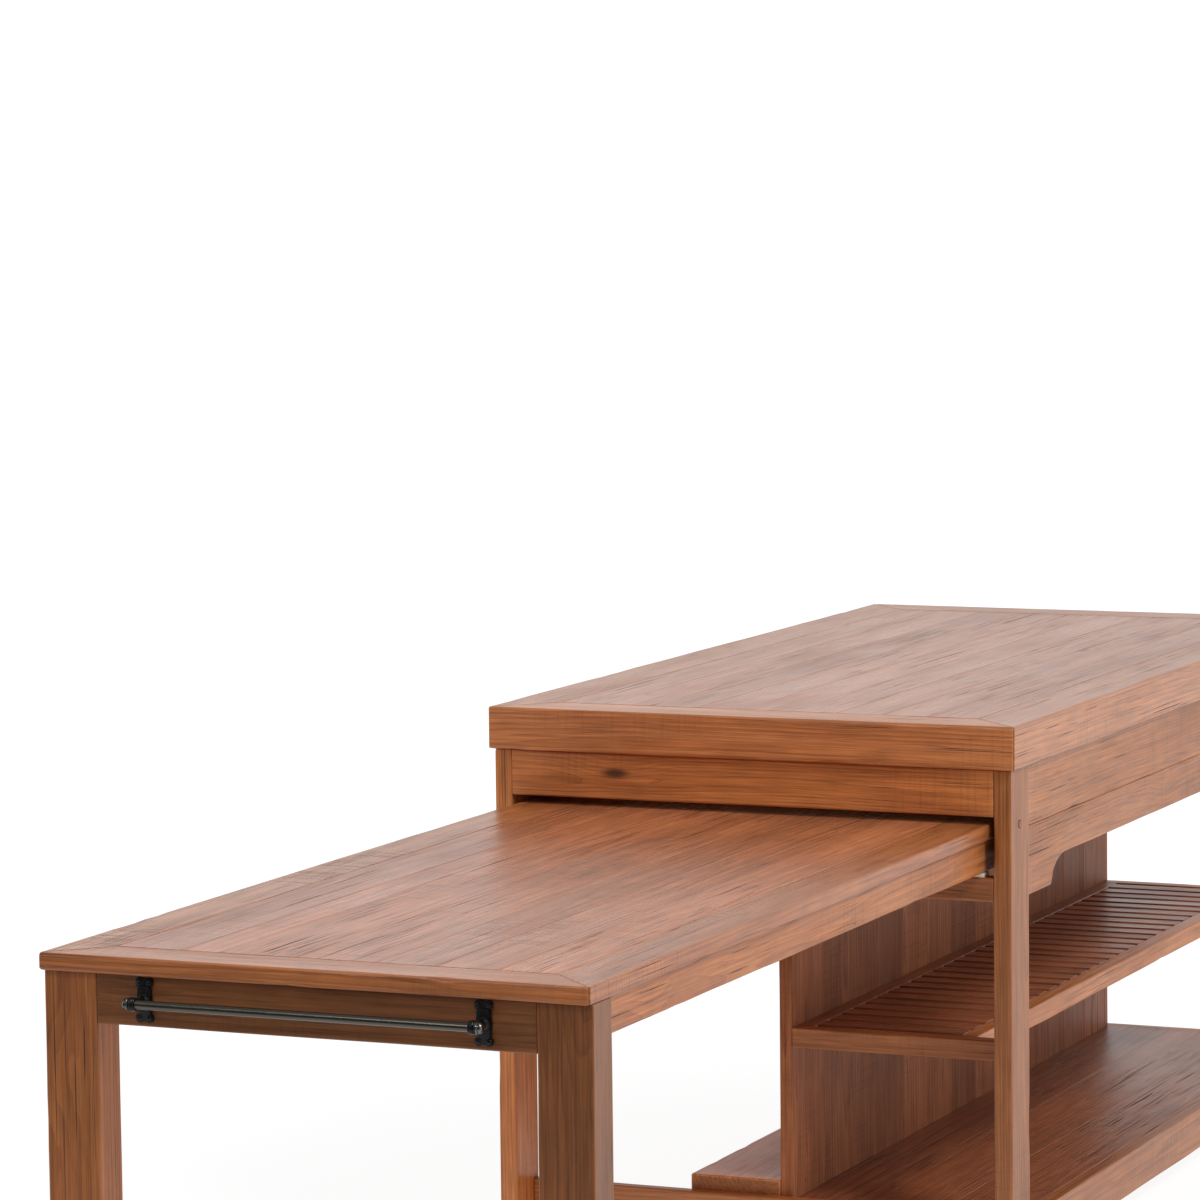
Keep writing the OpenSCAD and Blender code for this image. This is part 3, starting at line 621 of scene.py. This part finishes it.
# How light a part is made, and how much its boards differ, where that isn't 1 and 0.12. The lightness is
# partly the part's stain and partly painted shade and painted light: parts that stand in shade, such as the
# table's end apron under its top and the cross rail under the table, are made darker, and lit ones lighter.
stainsWithShade = {
    "top_planks": (1.03, 0.16), "top_border_front": (1.28, 0), "top_border_right": (0.95, 0),
    "leg_front_right": (0.66, 0), "leg_front_left": (1.12, 0),
    "leg_back_right": (0.85, 0), "leg_back_left": (0.8, 0),
    "end_rail_front": (1.20, 0), "side_apron_right_upper": (0.82, 0), "side_apron_left_upper": (0.9, 0),
    "side_apron_right_lower": (0.79, 0), "side_apron_left_lower": (0.8, 0),
    "divider_planks": (0.86, 0.22), "divider_stile_front": (0.95, 0), "divider_top_rail": (1.0, 0),
    "slat_shelf_rail_front": (0.70, 0), "slat_shelf_rail_outer": (0.92, 0),
    "slat_shelf_rail_inner": (0.58, 0),
    "low_shelf_boards": (1.08, 0.04), "slat_shelf_slats": (1.0, 0.08), "foot_board": (1.25, 0),
    "base_rail_right": (0.72, 0), "stretcher_front": (0.85, 0), "cross_rail_front": (0.55, 0),
    "table_planks": (1.06, 0.16), "table_leg_left": (0.82, 0), "table_leg_right": (0.45, 0),
    "table_apron_end": (0.40, 0), "table_apron_sides": (0.88, 0), "table_border_right": (0.88, 0),
}
# Planks jointed edge to edge: the arris of their long edges, the way they lie side by side, and how far
# each is widened so that no light shows through the joints.
jointed = {
    "low_shelf_boards": (0.0007, acrossX, 0.0004),
    "divider_planks": (0.0008, alongY, 0.0004),
    "table_planks": (0.0017, acrossX, 0.0008),
    "top_planks": (0.0018, acrossX, 0.0008),
}
for number, (node, (along, finish, slot, body)) in enumerate(timbers.items()):
    stainWithShade, spread = stainsWithShade.get(node, (1.0, 0.12))
    arris, sideways, closing = jointed.get(node, (None, acrossX, 0.0))
    stack = Stack()
    for k, (low, high) in enumerate(looseSolids(node)):
        low[sideways] -= closing
        high[sideways] += closing
        stack.board(low, high, along, 1000 * (number + 1) + k, stainWithShade, spread, arris=arris)
    fit(stack.piece("worn_" + node, finish), body, slot, node)
print("plain boards made:", len(timbers))


# Mitred borders: the side on which each is longest.
borders = {
    "top_border_front": (acrossX, "low", "islandBorder", "island_top_wood", "island"),
    "top_border_back": (acrossX, "high", "islandBorder", "island_top_wood", "island"),
    "top_border_left": (alongY, "low", "islandBorder", "island_top_wood", "island"),
    "top_border_right": (alongY, "high", "islandBorder", "island_top_wood", "island"),
    "table_border_end": (acrossX, "low", "tableBorder", "table_top_wood", "table"),
    "table_border_inner": (acrossX, "high", "tableBorder", "table_top_wood", "table"),
    "table_border_left": (alongY, "low", "sawnBorder", "table_top_wood", "table"),
    "table_border_right": (alongY, "high", "tableBorder", "table_top_wood", "table"),
}
borderArris = 0.0030
for number, (node, (along, mitre, finish, slot, body)) in enumerate(borders.items()):
    low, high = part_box(node)
    stack = Stack()
    stainWithShade, spread = stainsWithShade.get(node, (1.0, 0.08))
    stack.board(low, high, along, 90000 + 17 * number, stainWithShade, spread, mitre=mitre, arris=borderArris)
    fit(stack.piece("worn_" + node, finish), body, slot, node)
print("borders made:", len(borders))


# Lower side aprons: the bottom edge drops to a corbel at each leg.
corbel = dict(drop=0.044, flat=0.117, lean=0.012, run=0.062, stepShare=0.52)


def corbelEdge(bottom, length):
    drop = corbel["drop"] * (1 - corbel["stepShare"])
    radius = (corbel["run"] ** 2 + drop ** 2) / (2 * drop)
    top = bottom + corbel["drop"]
    end = corbel["flat"] + corbel["lean"] + corbel["run"]

    def edge(t):
        t = min(t, length - t)
        if t <= corbel["flat"]:
            return bottom
        if t <= corbel["flat"] + corbel["lean"]:
            return bottom + (t - corbel["flat"]) / corbel["lean"] * (corbel["drop"] - drop)
        if t <= end:
            return top - radius + math.sqrt(radius ** 2 - (end - t) ** 2)
        return top
    return edge, end


for number, node in enumerate(("side_apron_left_lower", "side_apron_right_lower")):
    low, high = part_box(node)
    length = high[1] - low[1]
    edge, end = corbelEdge(low[2], length)
    flat, lean = corbel["flat"], corbel["lean"]
    turns = [flat + step for step in (-0.003, -0.0008, 0.0012, lean / 2, lean - 0.001, lean + 0.002)]
    turns += list(np.linspace(flat + lean + 0.006, end + 0.004, 9))
    stack = Stack()
    stack.board(low, high, alongY, 95000 + number, *stainsWithShade[node], under=edge,
                breaks=turns + [length - t for t in turns])
    fit(stack.piece("worn_" + node, "frameWood"), "island", "frame_wood", node)

# Long rails of the slatted shelf, with the ledge that the slats' ends lie on.
slatLow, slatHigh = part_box("slat_shelf_slats")
ledgeDarkening = 0.8                                               # a little darker than the rail above it
for number, node in enumerate(("slat_shelf_rail_inner", "slat_shelf_rail_outer")):
    low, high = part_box(node)
    inside = low[0] > slatLow[0]
    seam = slatHigh[0] if inside else slatLow[0]
    stack = Stack()
    railX = (seam, high[0]) if inside else (low[0], seam)
    ledgeX = (low[0], seam) if inside else (seam, high[0])
    stainWithShade = stainsWithShade[node][0]
    stack.board((railX[0], low[1], low[2]), (railX[1], high[1], high[2]), alongY, 96000 + number, stainWithShade, 0)
    stack.board((ledgeX[0], low[1], low[2]), (ledgeX[1], high[1], slatLow[2]), alongY, 96100 + number,
                stainWithShade * ledgeDarkening, 0)
    fit(stack.piece("worn_" + node, "frameWood"), "island", "frame_wood", node)
print("aprons and slat rails made")


def turned(name, parts, finish, sides):
    # Pieces round an axis. Each part is (start, direction, [(distance, radius), ...]).
    build = bmesh.new()
    for start, direction, profile in parts:
        start, direction = Vector(start), Vector(direction).normalized()
        aside = direction.orthogonal().normalized()
        other = direction.cross(aside)
        previous = None
        for distance, radius in profile:
            centre = start + direction * distance
            if radius < 1e-6:
                loop = [build.verts.new(centre)]
            else:
                loop = [build.verts.new(centre + (aside * math.cos(turn) + other * math.sin(turn)) * radius)
                        for turn in (2 * math.pi * k / sides for k in range(sides))]
            if previous:
                for k in range(sides):
                    a, b = previous[k % len(previous)], previous[(k + 1) % len(previous)]
                    c, d = loop[(k + 1) % len(loop)], loop[k % len(loop)]
                    corners = [v for i, v in enumerate((a, b, c, d)) if v not in (a, b, c, d)[:i]]
                    if len(corners) > 2:
                        build.faces.new(corners)
            previous = loop
    return settle(name, build, finish, 40)


def settle(name, build, finish, sharpAngle):
    bmesh.ops.recalc_face_normals(build, faces=build.faces)
    mesh = bpy.data.meshes.new(name)
    build.to_mesh(mesh)
    build.free()
    mesh.shade_smooth()
    mesh.set_sharp_from_angle(angle=math.radians(sharpAngle))
    mesh.materials.append(finishes[finish])
    thing = bpy.data.objects.new(name, mesh)
    bpy.context.scene.collection.objects.link(thing)
    return thing


def domed(radius, height, steps=5, start=0.0):
    return [(start + height * math.sin(math.pi / 2 * k / steps), radius * math.cos(math.pi / 2 * k / steps))
            for k in range(steps + 1)]


# Wooden plugs in the legs, level with the wood round them, with painted shade in a ring at the rim where
# the gap round each plug would be.
plug = dict(slack=0.0004, rim=0.0016, bevel=0.0005, rimGapShade=1.9, faceStain=0.35)
plugParts, plugRadius = [], 0
for low, high in looseSolids("leg_plugs"):
    middle = [(low[i] + high[i]) / 2 for i in range(3)]
    outward = 1 if middle[0] > 0 else -1
    bottom = low[0] if outward > 0 else high[0]
    plugRadius, depth = (high[1] - low[1]) / 2 - plug["slack"], high[0] - low[0]
    plugParts.append(((bottom, middle[1], middle[2]), (outward, 0, 0),
                      [(0, 0), (0, plugRadius), (depth - plug["bevel"], plugRadius),
                       (depth, plugRadius - plug["bevel"]), (depth, plugRadius - plug["rim"]), (depth, 0)]))
plugs = turned("wooden_plugs", plugParts, "plugWood", 32)
plugGrain, plugBoard, plugRimShade = [], [], []
for vertex in plugs.data.vertices:
    middle = min((part[0] for part in plugParts), key=lambda spot: (Vector(spot) - vertex.co).length)
    away = math.hypot(vertex.co.y - middle[1], vertex.co.z - middle[2])
    plugGrain += [vertex.co.z, vertex.co.y, vertex.co.x]
    plugBoard += [1.0, 0.5, 0.5]
    # Painted shade of the gap round the plug, kept in the same value that darkens end grain.
    plugRimShade.append(plug["rimGapShade"] if away > plugRadius - plug["rim"] * 0.9 else plug["faceStain"])
note(plugs.data, "grain", plugGrain)
note(plugs.data, "board", plugBoard)
note(plugs.data, "endGrainAndRimShade", plugRimShade)
fit(plugs, "island", "plug_wood", "leg_plugs")

# The towel bar.
barLow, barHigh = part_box("towel_bar")
barRadius = (barHigh[2] - barLow[2]) / 2
barY, barZ = (barLow[1] + barHigh[1]) / 2, (barLow[2] + barHigh[2]) / 2
barLength = barHigh[0] - barLow[0]
barBevel = 0.0006
barProfile = [(0, 0), (0, barRadius - barBevel), (barBevel, barRadius), (barLength / 3, barRadius),
              (barLength * 2 / 3, barRadius), (barLength - barBevel, barRadius),
              (barLength, barRadius - barBevel), (barLength, 0)]
bar = turned("steel_bar", [((barLow[0], barY, barZ), (1, 0, 0), barProfile)], "barSteel", 48)
fit(bar, "table", "bar_steel", "towel_bar")

bracket = {
    "lobe": 0.0062,           # radius of the four ears that hold the screws
    "waist": 0.0105,          # half width between the ears
    "bevel": 0.0009,
    "plate": 0.004,           # how thick the plate is
    "post": 0.0050,           # radii of the post, of its foot and of the ring round the bar
    "flange": 0.0092,
    "collar": 0.0100,
    "ringHalf": 0.0055,       # half the length of the ring
    "bore": 0.0002,           # how much wider than the bar the ring and the caps are
    "sunk": 0.0005,           # how far the post's foot goes into the plate
}
# The ring's beads: distance along it, and how far below the collar's radius.
ringBeads = (
    (0, 0.0018), (0.0008, 0.0008), (0.0022, 0.0004), (0.0030, 0.0014), (0.0040, 0.0004), (0.0055, 0),
    (0.0070, 0.0004), (0.0080, 0.0014), (0.0088, 0.0004), (0.0102, 0.0008), (0.0110, 0.0018),
)
brackets = looseSolids("towel_bar_brackets")
screws = looseSolids("towel_bar_screws")
caps = looseSolids("towel_bar_caps")
faceY = max(high[1] for low, high in brackets)                 # the apron's face
plateDepth = bracket["plate"]


def platePath(centreX, low, high):
    # Outline of a plate: an ear at each corner, drawn in where the waist begins.
    half, lobe, waist = (high[0] - low[0]) / 2, bracket["lobe"], bracket["waist"]
    tall = (high[2] - low[2]) / 2
    quarter = []
    for k in range(7):                                         # round the upper right ear
        angle = math.radians(90 - 30 * k)
        quarter.append((half - lobe + lobe * math.cos(angle), tall - lobe + lobe * math.sin(angle)))
    quarter.append((waist, tall - 2.3 * lobe))
    quarter.append((waist - 0.0004, tall - 3.2 * lobe))
    quarter.append((waist + 0.0006, 0.004))
    right = [(0.0, tall - 0.0022), (0.0026, tall - 0.0018)] + quarter
    right += [(x, -z) for x, z in reversed(right)]
    left = [(-x, z) for x, z in reversed(right) if abs(x) > 1e-6]
    return [(centreX + x, (low[2] + high[2]) / 2 + z) for x, z in right + left]


def cutPlate(build, outline, back, front, bevel):
    centreX = sum(x for x, z in outline) / len(outline)
    centreZ = sum(z for x, z in outline) / len(outline)
    rows = []
    for y, inset in ((back, 0), (front + bevel, 0), (front + bevel * 0.3, bevel * 0.3), (front, bevel)):
        row = []
        for x, z in outline:
            away = Vector((x - centreX, z - centreZ))
            away = away * (1 - inset / max(away.length, 1e-6))
            row.append(build.verts.new((centreX + away.x, y, centreZ + away.y)))
        rows.append(row)
    count = len(outline)
    for first, second in zip(rows, rows[1:]):
        for k in range(count):
            build.faces.new((first[k], first[(k + 1) % count], second[(k + 1) % count], second[k]))
    build.faces.new(rows[0])
    build.faces.new(rows[-1])


plates = bmesh.new()
for low, high in brackets:
    outline = platePath((low[0] + high[0]) / 2, low, high)
    cutPlate(plates, outline, faceY, faceY - plateDepth, bracket["bevel"])
plateThing = settle("bracket_plates", plates, "blackIron", 35)

postParts = []
for low, high in brackets:
    centreX = (low[0] + high[0]) / 2
    flange, post, collar = bracket["flange"], bracket["post"], bracket["collar"]
    reach = faceY - plateDepth - barY
    stem = [(0, 0), (0, flange), (0.002, flange), (0.0032, flange - 0.0012), (0.0042, post + 0.0016),
            (0.0070, post + 0.0002), (reach * 0.55, post - 0.0004), (reach - collar * 0.9, post + 0.0004),
            (reach - collar * 0.55, post), (reach - 0.001, post), (reach - 0.001, 0)]
    postParts.append(((centreX, faceY - plateDepth + bracket["sunk"], barZ), (0, -1, 0), stem))
    bore, half = barRadius + bracket["bore"], bracket["ringHalf"]
    ring = [(0, bore)] + [(along, collar - below) for along, below in ringBeads]
    ring += [(ringBeads[-1][0], bore), (0, bore)]
    postParts.append(((centreX - half, barY, barZ), (1, 0, 0), ring))
posts = turned("bracket_posts", postParts, "blackIron", 36)
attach(plateThing, "table")
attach(posts, "table")
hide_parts("towel_bar_brackets")

capParts = []
for low, high in caps:
    outward = 1 if low[0] > 0 else -1
    start = low[0] if outward > 0 else high[0]
    radius, length = (high[2] - low[2]) / 2, high[0] - low[0]
    bore = barRadius + bracket["bore"]
    profile = [(0.0001, bore), (0.0001, radius - 0.0005), (0.0006, radius), (0.0026, radius),
               (0.0031, radius - 0.0006), (0.0034, radius - 0.0018), (0.0040, radius - 0.0018)]
    profile += [(0.0043 + d, r) for d, r in domed(radius - 0.0009, length - 0.0044, 7)]
    capParts.append(((start, barY, barZ), (outward, 0, 0), profile))
capThing = turned("bar_end_caps", capParts, "capSteel", 36)
fit(capThing, "table", "black_iron", "towel_bar_caps")

screwParts = []
for low, high in screws:
    centre = ((low[0] + high[0]) / 2, faceY - plateDepth + 0.0002, (low[2] + high[2]) / 2)
    radius = (high[0] - low[0]) / 2
    shank = [(-0.004, 0), (-0.004, 0.0018), (0, 0.0018)]
    head = [(0, radius), (0.0006, radius)] + domed(radius - 0.0001, 0.0018, 5, 0.0007)[:-1]
    socket = [(0.0024, 0.0011), (0.0019, 0.0010), (0.0019, 0)]
    screwParts.append((centre, (0, -1, 0), shank + head + socket))
screwThing = turned("bracket_screws", screwParts, "blackIron", 24)
fit(screwThing, "table", "black_iron", "towel_bar_screws")

# Glides under the legs, and the pads that the table slides on.
for node, body in (("leg_glides", "island"), ("table_glides", "table")):
    parts = []
    for low, high in looseSolids(node):
        radius, depth = (high[0] - low[0]) / 2, high[2] - low[2]
        profile = [(0, 0), (0, radius - 0.001), (0.0008, radius), (0.0024, radius - 0.0003),
                   (0.0036, radius - 0.0016), (depth, radius - 0.004), (depth, 0)]
        parts.append((((low[0] + high[0]) / 2, (low[1] + high[1]) / 2, high[2]), (0, 0, -1), profile))
    fit(turned("turned_" + node, parts, "glidePlastic", 36), body, "glide_plastic", node)
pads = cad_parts["slide_pads"]
for slotOfPads in pads.material_slots:
    slotOfPads.material = finishes["padPlastic"]
print("hardware made")


studio = {
    "horizon": 1.04, "zenith": 0.40, "front": 0.10,             # brightness of the room round the object
    "floor": (0.80, 0.80, 0.80), "floorNear": 0.80, "floorFront": 0.03, "floorDim": 0.12,
    "floorReach": 60.0,
    "keyPower": 330.0, "keySize": 2.4, "keyPlace": (5.5, -2.4, 6.9),
    "fillPower": 88.0, "fillSize": 2.5, "fillPlace": (-1.5, -6.5, 4.6),
    "aim": (0.0, -0.2, 0.6),
}


def areaLight(name, power, size, place):
    lamp = bpy.data.lights.new(name, "AREA")
    lamp.energy, lamp.size, lamp.shape = power, size, "DISK"
    thing = bpy.data.objects.new(name, lamp)
    bpy.context.scene.collection.objects.link(thing)
    thing.location = place
    thing.rotation_euler = (Vector(studio["aim"]) - Vector(place)).to_track_quat("-Z", "Y").to_euler()


areaLight("key", studio["keyPower"], studio["keySize"], studio["keyPlace"])
areaLight("fill", studio["fillPower"], studio["fillSize"], studio["fillPlace"])

# A white room: bright at eye level, dimmer overhead, dark towards the open front.
world = bpy.data.worlds.new("studio")
bpy.context.scene.world = world
room = Bench(world)
sideways, lengthwise, upwards = room.split(room.add("ShaderNodeTexCoord", out=0))
overhead = upwards.ramp(0.12, 0.85)
ahead = (lengthwise * -1).ramp(0.30, 0.85)
glow = (studio["zenith"] - studio["horizon"]) * overhead + studio["horizon"]
glow = glow * (1 - ahead) + studio["front"] * ahead
backdrop = room.tree.nodes["Background"]
backdrop.inputs[0].default_value = (1, 1, 1, 1)
room.feed(backdrop.inputs[1], glow)

floorMesh = bpy.data.meshes.new("floor")
reach = studio["floorReach"]
floorCorners = [(-reach, -reach, 0), (reach, -reach, 0), (reach, reach, 0), (-reach, reach, 0)]
floorMesh.from_pydata(floorCorners, [], [(0, 1, 2, 3)])
floor = bpy.data.objects.new("floor", floorMesh)
bpy.context.scene.collection.objects.link(floor)
floorBench = newBench("paleFloor")
placeX, placeY, _ = floorBench.split(floorBench.add("ShaderNodeNewGeometry", out=0))
distance = (placeX * placeX + placeY * placeY) ** 0.5
far = distance.ramp(0.8, 4.0)
frontal = (placeY * -1 - 1.4).ramp(0.0, 2.4)
lit = (studio["floorNear"] + far * (1 - studio["floorNear"]))
lit = lit * (1 - frontal) + studio["floorFront"] * frontal
shine = floorBench.add("ShaderNodeEmission", None, {"Color": colour(1, 1, 1), "Strength": 1.12})
mixed = floorBench.add("ShaderNodeMixShader", None, {0: lit, 2: shine})
floorBench.tree.links.new(floorBench.shader.outputs[0], mixed.socket.node.inputs[1])
floorBench.tree.links.new(mixed.socket, floorBench.tree.nodes["Material Output"].inputs[0])
dim = studio["floorDim"]
paint = floorBench.blend(frontal, colour(*studio["floor"]), colour(dim, dim, dim))
floorMesh.materials.append(floorBench.finish(Base_Color=paint, Roughness=0.9))

view = dict(place=(2.982226, -7.536963, 1.873515), yaw=0.411, pitch=0.0957, roll=0.011,
            lens=149.638, sensor=36.0)
lensData = bpy.data.cameras.new("camera")
lensData.lens, lensData.sensor_width = view["lens"], view["sensor"]
lensData.clip_start, lensData.clip_end = 0.1, 200
camera = bpy.data.objects.new("camera", lensData)
bpy.context.scene.collection.objects.link(camera)
yaw, pitch, roll = view["yaw"], view["pitch"], view["roll"]
forward = Vector((-math.sin(yaw) * math.cos(pitch), math.cos(yaw) * math.cos(pitch), -math.sin(pitch)))
right = Vector((math.cos(yaw), math.sin(yaw), 0))
down = forward.cross(right)
axisX = right * math.cos(roll) + down * math.sin(roll)
axisY = right * math.sin(roll) - down * math.cos(roll)
turnMatrix = Matrix((axisX, axisY, -forward)).transposed()
camera.matrix_world = Matrix.Translation(view["place"]) @ turnMatrix.to_4x4()
bpy.context.scene.camera = camera
bpy.context.scene.view_settings.view_transform = "Standard"
print("studio ready")
